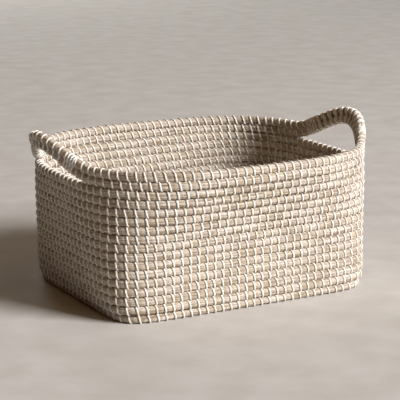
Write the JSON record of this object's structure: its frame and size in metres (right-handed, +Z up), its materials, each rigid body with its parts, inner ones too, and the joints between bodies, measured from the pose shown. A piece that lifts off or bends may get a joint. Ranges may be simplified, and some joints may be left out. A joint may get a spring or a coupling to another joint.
{
  "type": "storage basket",
  "caption": "Coiled seagrass storage basket: rectangular base, wall that rounds towards the rim, and two handles arched up out of the rim at the short ends.",
  "frame": {"origin": "middle of the basket on the surface it stands on", "axes": "+Z up, +X along the long sides, so the handles are at +X and -X"},
  "size_m": [0.4469, 0.3426, 0.2177],
  "materials": {
    "wall_seagrass": "matte dried seagrass bundle, fine stems lengthwise",
    "base_seagrass": "matte dried seagrass bundle, a little darker",
    "binding_cord": "matte off-white twisted cord"
  },
  "bodies": {
    "root": {"base_core": "base_seagrass", "base_course_01": "base_seagrass", "base_course_02": "base_seagrass", "base_course_03": "base_seagrass", "base_course_04": "base_seagrass", "base_course_05": "base_seagrass", "base_course_06": "base_seagrass", "base_course_07": "base_seagrass", "base_course_08": "base_seagrass", "base_course_09": "base_seagrass", "base_course_10": "base_seagrass", "base_course_11": "base_seagrass", "wall_course_01": "wall_seagrass", "wall_course_02": "wall_seagrass", "wall_course_03": "wall_seagrass", "wall_course_04": "wall_seagrass", "wall_course_05": "wall_seagrass", "wall_course_06": "wall_seagrass", "wall_course_07": "wall_seagrass", "wall_course_08": "wall_seagrass", "wall_course_09": "wall_seagrass", "wall_course_10": "wall_seagrass", "wall_course_11": "wall_seagrass", "wall_course_12": "wall_seagrass", "wall_course_13": "wall_seagrass", "wall_course_14": "wall_seagrass", "wall_course_15": "wall_seagrass", "rim_course_lower": "wall_seagrass", "rim_course_upper": "wall_seagrass", "lashing_left_front": "binding_cord", "lashing_left_back": "binding_cord", "lashing_right_front": "binding_cord", "lashing_right_back": "binding_cord"}
  },
  "joints": []
}
